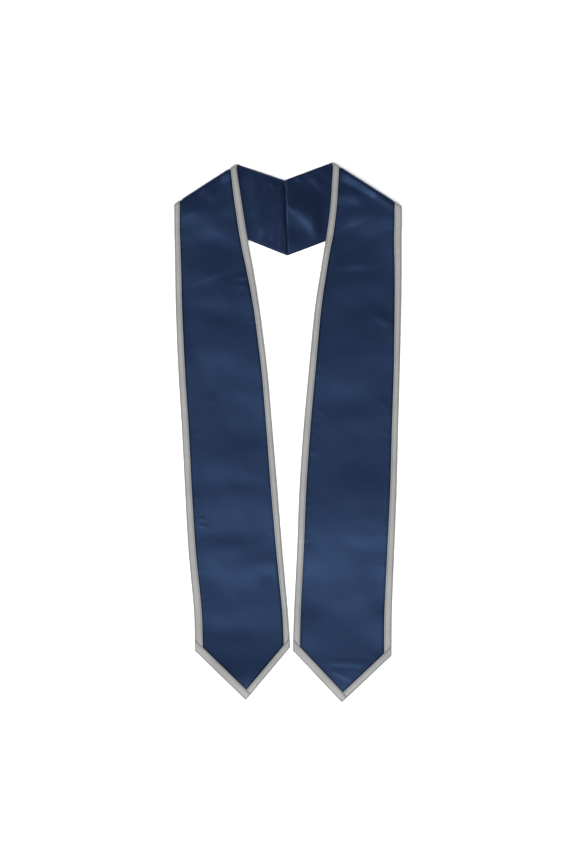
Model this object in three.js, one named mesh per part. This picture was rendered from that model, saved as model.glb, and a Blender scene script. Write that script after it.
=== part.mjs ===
// A graduation stole laid flat, face up, folded at the shoulders with its back underneath.
// Millimetres. +X is to the right seen from above, +Y runs to the neck, +Z is up.
// Each half is one band of cloth in layers: lining inside, face outside, trim on the face.

import * as THREE from 'three';
import { mergeVertices } from 'three/addons/utils/BufferGeometryUtils.js';

// Driving dimensions of the stole as it lies
const neckSpan = 149;          // between the neck ends of the two shoulder folds
const shoulderRise = 63.5;     // neck end of a shoulder fold above its outer end
const panelLength = 684;       // outer end of a shoulder fold down to the corners of the point
const panelWidth = 146;        // across a front panel at those corners
const pointDrop = 73;          // corners of the point down to its tip
const tipWidth = 1.6;          // the tip is cut off blunt this wide
const backSeam = 115.5;        // length of the seam in the middle of the back
const backDip = 28;            // neck ends of the shoulder folds down to the top of that seam
const backSeamX = -2.7;        // the seam lies a little to the left of the middle
const backSeamLean = 4.6;      // how much further right its lower end lies
const backBow = 4;             // sag of the back's outer edge towards the panels

// The cloth
const liningWall = 1.0;
const faceWall = 1.0;
const trimWall = 1.0;
const trimWidth = 11;
const trimCrown = 0.5;         // the trim is thicker by this along its middle
const pointBevel = 0.3;        // softened edge of the strips of the point
const layerGap = 0.3;          // between lining, face and trim
const seamGap = 0.3;           // between two pieces that meet edge to edge

// How the cloth lies
const foldRadius = 2.2;        // inside the shoulder fold
const restingGap = 0.9;        // between the back and the panel that lies on it
const foldRelax = 60;          // from the shoulder fold to where the two lie at the resting gap
const edgeMargin = 10;         // the panel stays up this far past the hidden edge of the back
const settleRun = 38;          // and then comes down to the surface in this distance
const foldHeight = 3;          // tallest fold in the cloth
const foldSpread = 60;         // widest fold, from its crest to its foot

// How finely the cloth is divided
const rollSteps = 6;           // round the shoulder fold
const pointSteps = 4;          // from the tip to the corners
const clothColumns = 6;        // between the two trims

const navy = new THREE.MeshStandardMaterial({ color: 0x263457, roughness: 0.42, metalness: 0 });
const navyInside = new THREE.MeshStandardMaterial({ color: 0x1e2a4c, roughness: 0.5, metalness: 0 });
const silver = new THREE.MeshStandardMaterial({ color: 0xa8a8a6, roughness: 0.45, metalness: 0 });

// Distances of each layer's two surfaces from the inside of the fold
const layers = { lining: [0, liningWall] };
layers.face = [layers.lining[1] + layerGap, layers.lining[1] + layerGap + faceWall];
layers.trim = [layers.face[1] + layerGap, layers.face[1] + layerGap + trimWall];
const stack = layers.trim[1] + trimCrown;

// Sections of a front panel from the shoulder down. down is a share of the panel's length at the outer edge,
// gap of half the neck span from the middle to the neck edge, width of the panel's width, rise of the shoulder
// rise from the outer to the neck edge, and the trims of the trim width. steps says into how many rows the
// stretch down to the next section is divided.
const leftSections = [
  { down: 0.0, gap: 1.062, width: 0.645, rise: 0.953, outerTrim: 0.8, neckTrim: 0.85, steps: 1 },
  { down: 0.035, gap: 0.96, width: 0.697, rise: 0.55, outerTrim: 0.78, neckTrim: 0.98, steps: 1 },
  { down: 0.071, gap: 0.86, width: 0.746, rise: 0.19, outerTrim: 0.78, neckTrim: 1.02, steps: 1 },
  { down: 0.103, gap: 0.78, width: 0.784, rise: 0.0, outerTrim: 0.82, neckTrim: 1.02, steps: 2 },
  { down: 0.148, gap: 0.701, width: 0.821, rise: 0.0, outerTrim: 0.86, neckTrim: 0.96, steps: 3 },
  { down: 0.238, gap: 0.571, width: 0.88, rise: 0.0, outerTrim: 0.9, neckTrim: 0.8, steps: 3 },
  { down: 0.372, gap: 0.416, width: 0.934, rise: 0.0, outerTrim: 0.95, neckTrim: 0.81, steps: 3 },
  { down: 0.507, gap: 0.308, width: 0.951, rise: 0.0, outerTrim: 0.97, neckTrim: 0.84, steps: 3 },
  { down: 0.6415, gap: 0.205, width: 0.971, rise: 0.0, outerTrim: 0.96, neckTrim: 0.91, steps: 3 },
  { down: 0.776, gap: 0.106, width: 0.986, rise: 0.0, outerTrim: 1.04, neckTrim: 0.86, steps: 3 },
  { down: 0.911, gap: -0.003, width: 0.984, rise: 0.0, outerTrim: 1.1, neckTrim: 0.76, steps: 2 },
  { down: 1.0, gap: -0.052, width: 0.999, rise: 0.083, outerTrim: 1.15, neckTrim: 0.85, steps: 1 },
];
const rightSections = [
  { down: 0.0, gap: 0.939, width: 0.716, rise: 1.047, outerTrim: 1.0, neckTrim: 0.85, steps: 1 },
  { down: 0.035, gap: 0.887, width: 0.745, rise: 0.472, outerTrim: 1.05, neckTrim: 0.88, steps: 1 },
  { down: 0.067, gap: 0.813, width: 0.779, rise: 0.094, outerTrim: 1.06, neckTrim: 0.9, steps: 1 },
  { down: 0.099, gap: 0.746, width: 0.813, rise: 0.0, outerTrim: 1.04, neckTrim: 0.87, steps: 2 },
  { down: 0.144, gap: 0.68, width: 0.848, rise: 0.0, outerTrim: 0.98, neckTrim: 0.84, steps: 3 },
  { down: 0.233, gap: 0.554, width: 0.907, rise: 0.0, outerTrim: 0.92, neckTrim: 0.9, steps: 3 },
  { down: 0.368, gap: 0.432, width: 0.955, rise: 0.0, outerTrim: 0.83, neckTrim: 0.95, steps: 3 },
  { down: 0.5025, gap: 0.32, width: 0.995, rise: 0.0, outerTrim: 0.88, neckTrim: 0.97, steps: 3 },
  { down: 0.637, gap: 0.238, width: 1.021, rise: 0.0, outerTrim: 0.89, neckTrim: 0.97, steps: 3 },
  { down: 0.772, gap: 0.19, width: 1.021, rise: 0.0, outerTrim: 0.97, neckTrim: 0.96, steps: 3 },
  { down: 0.906, gap: 0.129, width: 1.028, rise: 0.0, outerTrim: 1.04, neckTrim: 0.96, steps: 2 },
  { down: 1.007, gap: 0.107, width: 1.034, rise: 0.121, outerTrim: 1.05, neckTrim: 0.98, steps: 1 },
];

// Rows of the back from the shoulder fold to the seam, as shares of that way
const backRows = [0.1, 0.22, 0.36, 0.5, 0.62, 0.73, 0.82, 0.89, 0.95, 1];

// Folds in the cloth, each a soft ridge from one place to another. On the front, along is the share of the
// panel's length from the shoulder, on the back the share of the way to the seam. across runs from the outer
// edge to the neck edge. spread and height are shares of the widest and the tallest fold.
const leftFolds = [
  { on: 'front', along: 0.03, across: 0.3, along2: 0.05, across2: 0.55, spread: 0.35, height: 0.35 },
  { on: 'front', along: 0.17, across: 0.1, along2: 0.13, across2: 0.8, spread: 0.4, height: 0.45 },
  { on: 'front', along: 0.33, across: 0.05, along2: 0.34, across2: 0.95, spread: 1.0, height: 0.55 },
  { on: 'front', along: 0.68, across: 0.0, along2: 0.66, across2: 1.0, spread: 0.9, height: 0.8 },
  { on: 'front', along: 0.79, across: 0.3, along2: 0.81, across2: 0.8, spread: 0.7, height: 0.6 },
  { on: 'back', along: 0.55, across: 0.35, along2: 0.9, across2: 0.75, spread: 0.3, height: 0.35 },
  { on: 'back', along: 0.7, across: 0.2, along2: 0.93, across2: 0.35, spread: 0.3, height: 0.3 },
];
const rightFolds = [
  { on: 'front', along: 0.03, across: 0.2, along2: 0.045, across2: 0.65, spread: 0.35, height: 0.6 },
  { on: 'front', along: 0.08, across: 0.2, along2: 0.2, across2: 0.18, spread: 0.45, height: 0.4 },
  { on: 'front', along: 0.33, across: 0.05, along2: 0.32, across2: 0.95, spread: 1.0, height: 0.5 },
  { on: 'front', along: 0.7, across: 0.1, along2: 0.68, across2: 1.0, spread: 1.0, height: 0.8 },
  { on: 'front', along: 0.82, across: 0.25, along2: 0.8, across2: 0.75, spread: 0.8, height: 0.6 },
  { on: 'back', along: 0.97, across: 0.15, along2: 0.96, across2: 0.9, spread: 0.2, height: 0.5 },
  { on: 'back', along: 0.93, across: 0.72, along2: 0.68, across2: 0.35, spread: 0.35, height: 0.9 },
];

// The two halves. level is how far the outer end of the shoulder fold lies above the left one's, tipShare where
// the tip is across the panel, drop its share of the point's drop. through is the slope whose strip runs on to
// the other slope's edge at the tip, and the last two are the widths of the strips as shares of the trim's.
const halves = [
  {
    name: 'left', side: -1, level: 0, sections: leftSections, folds: leftFolds,
    tipShare: 0.535, drop: 1.02, through: 'outer', outerSlope: 1.12, neckSlope: 0.88,
  },
  {
    name: 'right', side: 1, level: -3, sections: rightSections, folds: rightFolds,
    tipShare: 0.504, drop: 0.97, through: 'neck', outerSlope: 0.95, neckSlope: 1.1,
  },
];

const plan = (x, y) => new THREE.Vector2(x, y);
const up = new THREE.Vector3(0, 0, 1);
const down = new THREE.Vector3(0, 0, -1);
const between = (a, b, share) => a.clone().lerp(b, share);
const wayFrom = (a, b) => b.clone().sub(a).normalize();
const bell = (share) => Math.cos(Math.min(1, share) * Math.PI / 2) ** 2;
const ease = (share) => THREE.MathUtils.smoothstep(share, 0, 1);

// Square to a direction in plan, pointing away from the neck
function awayFromNeck(way) {
  const square = plan(way.y, -way.x);
  return square.y > 0 ? square.negate() : square;
}

// Where two lines in plan cross, each given by a point and a direction
function crossing(lineA, lineB) {
  const gap = lineB.point.clone().sub(lineA.point);
  return lineA.point.clone().addScaledVector(lineA.way, gap.cross(lineB.way) / lineA.way.cross(lineB.way));
}

// The same line moved over by a distance, to the side where a given point lies
function movedOver(line, distance, toward) {
  const square = plan(-line.way.y, line.way.x);
  if (square.dot(toward.clone().sub(line.point)) < 0) square.negate();
  return { point: line.point.clone().addScaledVector(square, distance), way: line.way };
}

function distanceToStretch(point, start, end) {
  const way = end.clone().sub(start);
  const share = THREE.MathUtils.clamp(point.clone().sub(start).dot(way) / way.lengthSq(), 0, 1);
  return point.distanceTo(start.clone().addScaledVector(way, share));
}

// The outer and the neck end of one section of a front panel
function sectionEnds(half, section) {
  const fromMiddle = section.gap * neckSpan / 2;
  const outer = plan(half.side * (fromMiddle + section.width * panelWidth), half.level - section.down * panelLength);
  const neck = plan(half.side * fromMiddle, outer.y + section.rise * shoulderRise);
  return { outer, neck };
}

// The places in plan that a half is drawn from
function setOut(half) {
  const ends = half.sections.map((section) => sectionEnds(half, section));
  const shoulder = ends[0];
  const corners = ends[ends.length - 1];
  const seamTop = plan(backSeamX - backSeamLean / 2, shoulderRise - backDip);
  const seamFoot = plan(backSeamX + backSeamLean / 2, seamTop.y - backSeam);
  for (const point of [seamTop, seamFoot]) point.x += half.side * seamGap / 2;
  const tip = between(corners.outer, corners.neck, half.tipShare);
  tip.y = corners.outer.y - half.drop * pointDrop;
  const tipEnds = {
    outer: plan(tip.x + half.side * tipWidth / 2, tip.y),
    neck: plan(tip.x - half.side * tipWidth / 2, tip.y),
  };
  const inward = awayFromNeck(wayFrom(shoulder.outer, shoulder.neck));
  return { ends, shoulder, corners, seamTop, seamFoot, tipEnds, inward };
}

function backEnds(lines, share) {
  const outer = between(lines.shoulder.outer, lines.seamFoot, share);
  outer.y -= backBow * Math.sin(Math.PI * share);
  return { outer, neck: between(lines.shoulder.neck, lines.seamTop, share) };
}

// A place on a half: on the front, along is the share of the panel's length, on the back of the way to the seam
function placeOn(half, lines, on, along, across) {
  if (on === 'back') {
    const back = backEnds(lines, along);
    return between(back.outer, back.neck, across);
  }
  const next = Math.max(1, half.sections.findIndex((section) => section.down >= along));
  const above = half.sections[next - 1];
  const share = (along - above.down) / (half.sections[next].down - above.down);
  const outer = between(lines.ends[next - 1].outer, lines.ends[next].outer, share);
  const neck = between(lines.ends[next - 1].neck, lines.ends[next].neck, share);
  return between(outer, neck, across);
}

function foldsAt(half, lines, on, point) {
  let height = 0;
  for (const fold of half.folds.filter((one) => one.on === on)) {
    const start = placeOn(half, lines, on, fold.along, fold.across);
    const end = placeOn(half, lines, on, fold.along2, fold.across2);
    const away = distanceToStretch(point, start, end) / (fold.spread * foldSpread);
    height = Math.max(height, fold.height * foldHeight * bell(away));
  }
  return height;
}

// Height of the inside of a front panel above the surface. It lies on the back, and past the back's hidden edge
// it comes down to the surface.
function frontHeight(lines, point) {
  const fromCorner = point.clone().sub(lines.shoulder.outer);
  const fromFold = fromCorner.dot(lines.inward) - foldRadius - stack;
  const gap = restingGap + (2 * foldRadius - restingGap) * (1 - ease(fromFold / foldRelax));
  const backEdge = wayFrom(lines.shoulder.outer, backEnds(lines, 0.5).outer);
  const past = fromCorner.dot(awayFromNeck(backEdge)) - edgeMargin;
  return (stack + gap) * (1 - ease(past / settleRun));
}

// Width of a trim measured along a row that crosses its edge at a slant
function slanted(width, row, edgeWay) {
  return width * trimWidth / Math.abs(wayFrom(row.outer, row.neck).cross(edgeWay));
}

function pointRows(lines) {
  const rows = [];
  for (let step = 0; step < pointSteps; step += 1) {
    const outer = between(lines.tipEnds.outer, lines.corners.outer, step / pointSteps);
    const neck = between(lines.tipEnds.neck, lines.corners.neck, step / pointSteps);
    const inset = outer.distanceTo(neck) / (clothColumns + 2);
    rows.push({ on: 'point', outer, neck, outerInset: inset, neckInset: inset });
  }
  return rows;
}

function frontRows(half, lines) {
  const rows = [];
  const last = half.sections.length - 1;
  const outerLine = new THREE.SplineCurve(lines.ends.map((end) => end.outer));
  const neckLine = new THREE.SplineCurve(lines.ends.map((end) => end.neck));
  for (let index = last; index >= 1; index -= 1) {
    const below = half.sections[index];
    const above = half.sections[index - 1];
    for (let step = 0; step < above.steps; step += 1) {
      const share = step / above.steps;
      const at = (index - share) / last;
      const row = { on: 'front', outer: outerLine.getPoint(at), neck: neckLine.getPoint(at) };
      const outerTrim = THREE.MathUtils.lerp(below.outerTrim, above.outerTrim, share);
      const neckTrim = THREE.MathUtils.lerp(below.neckTrim, above.neckTrim, share);
      row.outerInset = slanted(outerTrim, row, outerLine.getTangent(at));
      row.neckInset = slanted(neckTrim, row, neckLine.getTangent(at));
      rows.push(row);
    }
  }
  return rows;
}

// The rows at either end of the shoulder fold stand over each other, one radius and the layers in from the fold
function foldEnd(half, lines, next) {
  const row = {};
  const ways = {};
  for (const edge of ['outer', 'neck']) {
    ways[edge] = wayFrom(lines.shoulder[edge], next[edge]);
    const reach = (foldRadius + stack) / ways[edge].dot(lines.inward);
    row[edge] = lines.shoulder[edge].clone().addScaledVector(ways[edge], reach);
  }
  row.outerInset = slanted(half.sections[0].outerTrim, row, ways.outer);
  row.neckInset = slanted(half.sections[0].neckTrim, row, ways.neck);
  return row;
}

function foldRows(half, lines) {
  const front = foldEnd(half, lines, lines.ends[1]);
  const back = foldEnd(half, lines, backEnds(lines, backRows[0]));
  const rows = [];
  for (let step = 0; step <= rollSteps; step += 1) {
    const share = step / rollSteps;
    rows.push({
      on: 'fold',
      turn: Math.PI * share,
      outer: between(front.outer, back.outer, share),
      neck: between(front.neck, back.neck, share),
      outerInset: THREE.MathUtils.lerp(front.outerInset, back.outerInset, share),
      neckInset: THREE.MathUtils.lerp(front.neckInset, back.neckInset, share),
    });
  }
  return rows;
}

function rowsOfBack(half, lines) {
  const outerWay = wayFrom(lines.shoulder.outer, lines.seamFoot);
  const neckWay = wayFrom(lines.shoulder.neck, lines.seamTop);
  return backRows.map((share) => {
    const row = { on: 'back', ...backEnds(lines, share) };
    row.outerInset = slanted(1, row, outerWay);
    row.neckInset = slanted(1, row, neckWay);
    return row;
  });
}

// Shares across a row where its columns stand: the edges and middles of both trims, and the cloth between them
function columnsOf(row) {
  const length = row.outer.distanceTo(row.neck);
  const outer = row.outerInset / length;
  const neck = row.neckInset / length;
  const shares = [0, outer / 2];
  for (let column = 0; column <= clothColumns; column += 1) {
    shares.push(THREE.MathUtils.lerp(outer, 1 - neck, column / clothColumns));
  }
  shares.push(1 - neck / 2, 1);
  return shares;
}

// The inside surface of a half: for every row and column a place and the way out through the layers
function layCloth(half, lines, rows) {
  const place = (row, point) => {
    if (row.on === 'fold') {
      const out = new THREE.Vector3(lines.inward.x, lines.inward.y, 0).multiplyScalar(-Math.sin(row.turn));
      out.z = Math.cos(row.turn);
      const centre = new THREE.Vector3(point.x, point.y, stack + foldRadius);
      return { base: centre.addScaledVector(out, foldRadius), out };
    }
    if (row.on === 'back') {
      const height = stack + foldsAt(half, lines, 'back', point);
      return { base: new THREE.Vector3(point.x, point.y, height), out: down };
    }
    const height = frontHeight(lines, point) + foldsAt(half, lines, 'front', point);
    return { base: new THREE.Vector3(point.x, point.y, height), out: up };
  };
  return rows.map((row) => columnsOf(row).map((share) => place(row, between(row.outer, row.neck, share))));
}

// A closed sheet between two distances out from the inside surface, thicker by crown along its middle
function sheet(grid, side, [inside, outside], crown = 0) {
  const lastRow = grid.length - 1;
  const lastColumn = grid[0].length - 1;
  const positions = [];
  for (const distance of [inside, outside]) {
    for (const row of grid) {
      row.forEach(({ base, out }, column) => {
        const inMiddle = distance === outside && column > 0 && column < lastColumn;
        const reach = distance + (inMiddle ? crown : 0);
        positions.push(...base.clone().addScaledVector(out, reach).toArray());
      });
    }
  }
  const inner = (row, column) => row * (lastColumn + 1) + column;
  const outer = (row, column) => grid.length * (lastColumn + 1) + inner(row, column);
  const faces = [];
  const quad = (a, b, c, d) => {
    if (side < 0) faces.push(a, b, c, a, c, d);
    else faces.push(a, c, b, a, d, c);
  };
  for (let row = 0; row < lastRow; row += 1) {
    for (let column = 0; column < lastColumn; column += 1) {
      const [next, beside] = [row + 1, column + 1];
      quad(outer(row, column), outer(row, beside), outer(next, beside), outer(next, column));
      quad(inner(row, column), inner(next, column), inner(next, beside), inner(row, beside));
    }
    quad(inner(row, 0), outer(row, 0), outer(row + 1, 0), inner(row + 1, 0));
    quad(inner(row + 1, lastColumn), outer(row + 1, lastColumn), outer(row, lastColumn), inner(row, lastColumn));
  }
  for (let column = 0; column < lastColumn; column += 1) {
    quad(inner(0, column + 1), outer(0, column + 1), outer(0, column), inner(0, column));
    quad(inner(lastRow, column), outer(lastRow, column), outer(lastRow, column + 1), inner(lastRow, column + 1));
  }
  const geometry = new THREE.BufferGeometry();
  geometry.setAttribute('position', new THREE.Float32BufferAttribute(positions, 3));
  geometry.setIndex(faces);
  return geometry;
}

// Lines in plan of one slope of the point and of the side edge above it, with the inner edges of their strips
function slopeLines(half, lines, rows, edge) {
  const corner = lines.corners[edge];
  const aboveCorner = rows[pointSteps + 1];
  const side = { point: corner, way: wayFrom(corner, aboveCorner[edge]) };
  const slope = { point: corner, way: wayFrom(corner, lines.tipEnds[edge]) };
  const opposite = edge === 'outer' ? lines.corners.neck : lines.corners.outer;
  const sideWidth = half.sections[half.sections.length - 1][`${edge}Trim`] * trimWidth;
  const slopeWidth = half[`${edge}Slope`] * trimWidth;
  return {
    corner,
    side,
    slope,
    sideInner: movedOver(side, sideWidth, opposite),
    slopeInner: movedOver(slope, slopeWidth, opposite),
    slopeClear: movedOver(slope, slopeWidth + seamGap, opposite),
  };
}

// A side trim, from the line where the strip of the point crosses it up to the seam of the back
function sideTrim(half, grid, edge, slope) {
  const columns = edge === 'outer' ? [0, 3] : [-3, undefined];
  const lay = (point) => ({ base: new THREE.Vector3(point.x, point.y, 0), out: up });
  const ends = [crossing(slope.side, slope.slopeClear), crossing(slope.sideInner, slope.slopeClear)];
  if (edge === 'neck') ends.reverse();
  const cut = [ends[0], between(ends[0], ends[1], 0.5), ends[1]].map(lay);
  const strip = grid.slice(pointSteps + 1).map((row) => row.slice(...columns));
  return sheet([cut, ...strip], half.side, layers.trim, trimCrown);
}

function pointStrip(outline) {
  const shape = new THREE.Shape(outline);
  const geometry = new THREE.ExtrudeGeometry(shape, {
    depth: trimWall + trimCrown - 2 * pointBevel,
    bevelThickness: pointBevel,
    bevelSize: pointBevel,
    bevelOffset: -pointBevel,
    bevelSegments: 1,
  });
  geometry.deleteAttribute('normal');
  geometry.deleteAttribute('uv');
  geometry.translate(0, 0, layers.trim[0] + pointBevel);
  return mergeVertices(geometry);
}

// The strip that runs through at the tip, and the one that ends against it
function pointStrips(half, lines, slopes) {
  const other = half.through === 'outer' ? 'neck' : 'outer';
  const [a, b] = [slopes[half.through], slopes[other]];
  return {
    [half.through]: pointStrip([
      crossing(a.side, a.slopeInner), a.corner, lines.tipEnds[half.through], lines.tipEnds[other],
      crossing(a.slopeInner, b.slope), crossing(a.slopeInner, b.slopeInner), crossing(a.sideInner, a.slopeInner),
    ]),
    [other]: pointStrip([
      crossing(a.slopeClear, b.slope), b.corner, crossing(b.side, b.slopeInner),
      crossing(b.sideInner, b.slopeInner), crossing(a.slopeClear, b.slopeInner),
    ]),
  };
}

function buildHalf(half) {
  const lines = setOut(half);
  const rows = [
    ...pointRows(lines), ...frontRows(half, lines), ...foldRows(half, lines), ...rowsOfBack(half, lines),
  ];
  const grid = layCloth(half, lines, rows);
  const slopes = {
    outer: slopeLines(half, lines, rows, 'outer'),
    neck: slopeLines(half, lines, rows, 'neck'),
  };
  const strips = pointStrips(half, lines, slopes);
  const pieces = [
    ['face', sheet(grid, half.side, layers.face), navy],
    ['lining', sheet(grid, half.side, layers.lining), navyInside],
    ['neck_trim', sideTrim(half, grid, 'neck', slopes.neck), silver],
    ['outer_trim', sideTrim(half, grid, 'outer', slopes.outer), silver],
    ['point_trim_outer', strips.outer, silver],
    ['point_trim_neck', strips.neck, silver],
  ];
  return pieces.map(([name, geometry, material]) => {
    geometry.computeVertexNormals();
    const mesh = new THREE.Mesh(geometry, material);
    mesh.name = `${half.name}_${name}`;
    return mesh;
  });
}

// The origin is in the middle of the outline, on the surface
const cloth = new THREE.Group();
for (const half of halves) cloth.add(...buildHalf(half));
const outline = new THREE.Box3().setFromObject(cloth, true);
const middle = outline.getCenter(new THREE.Vector3());
cloth.position.set(-middle.x, -middle.y, -outline.min.z);

const stole = new THREE.Group();
stole.add(cloth);

export default stole;
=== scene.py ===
# Graduation stole, navy satin with grey satin trim, laid flat face up and seen from straight above
import math

import bpy
import numpy as np
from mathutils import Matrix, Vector


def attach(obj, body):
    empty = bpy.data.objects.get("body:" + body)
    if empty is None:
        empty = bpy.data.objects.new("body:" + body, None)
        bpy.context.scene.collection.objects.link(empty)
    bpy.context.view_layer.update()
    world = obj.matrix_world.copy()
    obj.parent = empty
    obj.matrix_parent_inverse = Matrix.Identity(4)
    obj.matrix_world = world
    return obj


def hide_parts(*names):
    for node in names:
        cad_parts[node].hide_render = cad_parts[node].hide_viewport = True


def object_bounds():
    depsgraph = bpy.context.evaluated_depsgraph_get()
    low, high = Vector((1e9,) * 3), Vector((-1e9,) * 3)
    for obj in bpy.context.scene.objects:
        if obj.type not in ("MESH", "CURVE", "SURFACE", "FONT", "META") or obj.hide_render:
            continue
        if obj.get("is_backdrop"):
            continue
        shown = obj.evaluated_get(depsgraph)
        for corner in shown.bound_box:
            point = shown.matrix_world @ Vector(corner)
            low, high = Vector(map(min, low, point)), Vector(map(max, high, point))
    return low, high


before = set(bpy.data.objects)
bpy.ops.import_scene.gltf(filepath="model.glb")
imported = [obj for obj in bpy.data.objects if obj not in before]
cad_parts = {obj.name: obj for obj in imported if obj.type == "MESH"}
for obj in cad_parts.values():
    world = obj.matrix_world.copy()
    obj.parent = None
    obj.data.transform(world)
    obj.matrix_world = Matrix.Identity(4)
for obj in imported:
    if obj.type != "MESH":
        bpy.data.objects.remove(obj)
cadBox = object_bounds()
mm = 0.001

# How the band of cloth lies, in metres. The same layout as the frame's, from the left fold's outer end
layout = {
    "neckSpan": 0.149,        # between the neck ends of the two shoulder folds
    "shoulderRise": 0.0635,   # neck end of a shoulder fold above its outer end
    "panelLength": 0.684,     # from there down to the corners of the point
    "panelWidth": 0.146,
    "pointDrop": 0.073,
    "tipWidth": 0.0016,
    "backSeam": 0.1155,
    "backDip": 0.028,
    "backSeamX": -0.0027,
    "backSeamLean": 0.0046,
    "backBow": 0.004,
    "foldRadius": 0.0022,     # inside the shoulder fold
    "restingGap": 0.0009,     # between the back and the panel on it
    "foldRelax": 0.1,         # run over which the fold's own height is gone
    "slackRun": 0.15,         # and its slack
    "edgeMargin": 0.01,
    # the panel comes down to the floor in soft steps: from where past the back's edge, run, share.
    # The frame does it in one short step
    "settle": ((-0.004, 0.025, 0.11), (0.055, 0.06, 0.18), (0.15, 0.08, 0.3), (0.0, 0.3, 0.41)),
    "foldBulge": 0.0013,      # the cloth of the shoulder fold comes out as far as the trims beside it
    "bulgeRun": 0.006,
    "stack": 0.0041,          # lining, face and trim together
    "trimWidth": 0.011,
    "seamGap": 0.0003,
    "seamClear": 0.05 * mm,   # each half ends this far from the middle of the back seam
    "frameShift": (-0.000605, 0.349555),  # from the left fold's outer end to the frame's own middle
}

# Layers of the band, in metres out from its inside surface
layers = {
    "lining": (0.0, 0.001),
    "face": (0.0013, 0.0023),
    "turned": 0.0003,         # the face's edge is turned down round the lining to here
    "faceShy": 0.0006,        # edge of the face behind the trim's edge
    "liningShy": 0.0024,      # edge of the lining behind the trim's edge
    "trimUnder": 0.0024,
    "trimOver": 0.00345,
}

# down, gap, width, rise, outer trim, neck trim: shares as in the frame, from the shoulder down to the corner
leftSections = [
    (0.0, 1.062, 0.645, 0.953, 0.80, 0.85),
    (0.035, 0.96, 0.697, 0.55, 0.78, 0.98),
    (0.071, 0.86, 0.746, 0.19, 0.78, 1.02),
    (0.103, 0.78, 0.784, 0.0, 0.82, 1.02),
    (0.148, 0.701, 0.821, 0.0, 0.86, 0.96),
    (0.238, 0.571, 0.88, 0.0, 0.9, 0.8),
    (0.372, 0.416, 0.934, 0.0, 0.95, 0.81),
    (0.507, 0.308, 0.951, 0.0, 0.97, 0.84),
    (0.6415, 0.205, 0.971, 0.0, 0.96, 0.91),
    (0.776, 0.106, 0.986, 0.0, 1.04, 0.86),
    (0.911, -0.003, 0.984, 0.0, 1.1, 0.76),
    (1.0, -0.052, 0.999, 0.083, 1.15, 0.85),
]
rightSections = [
    (0.0, 0.939, 0.716, 1.047, 1.0, 0.85),
    (0.035, 0.887, 0.745, 0.472, 1.05, 0.88),
    (0.067, 0.813, 0.779, 0.094, 1.06, 0.9),
    (0.099, 0.746, 0.813, 0.0, 1.04, 0.87),
    (0.144, 0.68, 0.848, 0.0, 0.98, 0.84),
    (0.233, 0.554, 0.907, 0.0, 0.92, 0.9),
    (0.368, 0.432, 0.955, 0.0, 0.83, 0.95),
    (0.5025, 0.32, 0.995, 0.0, 0.88, 0.97),
    (0.637, 0.238, 1.021, 0.0, 0.89, 0.97),
    (0.772, 0.19, 1.021, 0.0, 0.97, 0.96),
    (0.906, 0.129, 1.028, 0.0, 1.04, 0.96),
    (1.007, 0.107, 1.034, 0.121, 1.05, 0.98),
]

halves = {
    "left": {"side": -1, "level": 0.0, "sections": leftSections, "tipShare": 0.535, "drop": 1.02,
             "through": "outer", "outerSlope": 1.12, "neckSlope": 0.88, "seed": 11},
    "right": {"side": 1, "level": -0.003, "sections": rightSections, "tipShare": 0.504, "drop": 0.97,
              "through": "neck", "outerSlope": 0.95, "neckSlope": 1.1, "seed": 29},
}

# Soft ridges that the frame has too: on, along, across, along2, across2, spread, height.
# On the front, along is a share of the panel from the shoulder, on the back of the way to the seam.
foldSpread = 0.06
foldHeight = 0.003
mainFolds = {
    "left": [
        ("front", 0.03, 0.3, 0.05, 0.55, 0.35, 0.35),
        ("front", 0.17, 0.1, 0.13, 0.8, 0.4, 0.45),
        ("front", 0.33, 0.05, 0.34, 0.95, 1.0, 0.55),
        ("front", 0.68, 0.0, 0.66, 1.0, 0.9, 0.8),
        ("front", 0.79, 0.3, 0.81, 0.8, 0.7, 0.6),
        ("back", 0.55, 0.35, 0.9, 0.75, 0.3, 0.35),
        ("back", 0.7, 0.2, 0.93, 0.35, 0.3, 0.3),
    ],
    "right": [
        ("front", 0.03, 0.2, 0.045, 0.65, 0.35, 0.6),
        ("front", 0.08, 0.2, 0.2, 0.18, 0.45, 0.4),
        ("front", 0.33, 0.05, 0.32, 0.95, 1.0, 0.5),
        ("front", 0.7, 0.1, 0.68, 1.0, 1.0, 0.8),
        ("front", 0.82, 0.25, 0.8, 0.75, 0.8, 0.6),
        ("back", 0.97, 0.15, 0.96, 0.9, 0.2, 0.5),
        ("back", 0.93, 0.72, 0.68, 0.35, 0.35, 0.9),
    ],
}


# Plan geometry, all on arrays of points in metres

def unit(way):
    return way / np.linalg.norm(way, axis=-1, keepdims=True)


def cross(a, b):
    return a[..., 0] * b[..., 1] - a[..., 1] * b[..., 0]


def ease(share):
    share = np.clip(share, 0, 1)
    return share * share * (3 - 2 * share)


def bell(share):
    return np.cos(np.clip(np.abs(share), 0, 1) * math.pi / 2) ** 2


def awayFromNeck(way):
    square = np.array([way[1], -way[0]])
    return -square if square[1] > 0 else square


def splineThrough(points, at):
    # the uniform spline that the frame's edges follow, at from 0 to 1
    count = len(points)
    place = np.clip(np.asarray(at, float), 0, 1) * (count - 1)
    first = np.minimum(place.astype(int), count - 1)
    part = (place - first)[..., None]
    pick = lambda step: points[np.clip(first + step, 0, count - 1)]
    before, here, there, after = pick(-1), pick(0), pick(1), pick(2)
    slopeA, slopeB = (there - before) / 2, (after - here) / 2
    cubic = 2 * here - 2 * there + slopeA + slopeB
    square = -3 * here + 3 * there - 2 * slopeA - slopeB
    return cubic * part ** 3 + square * part ** 2 + slopeA * part + here


def crossing(lineA, lineB):
    (pointA, wayA), (pointB, wayB) = lineA, lineB
    return pointA + wayA * (cross(pointB - pointA, wayB) / cross(wayA, wayB))


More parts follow.
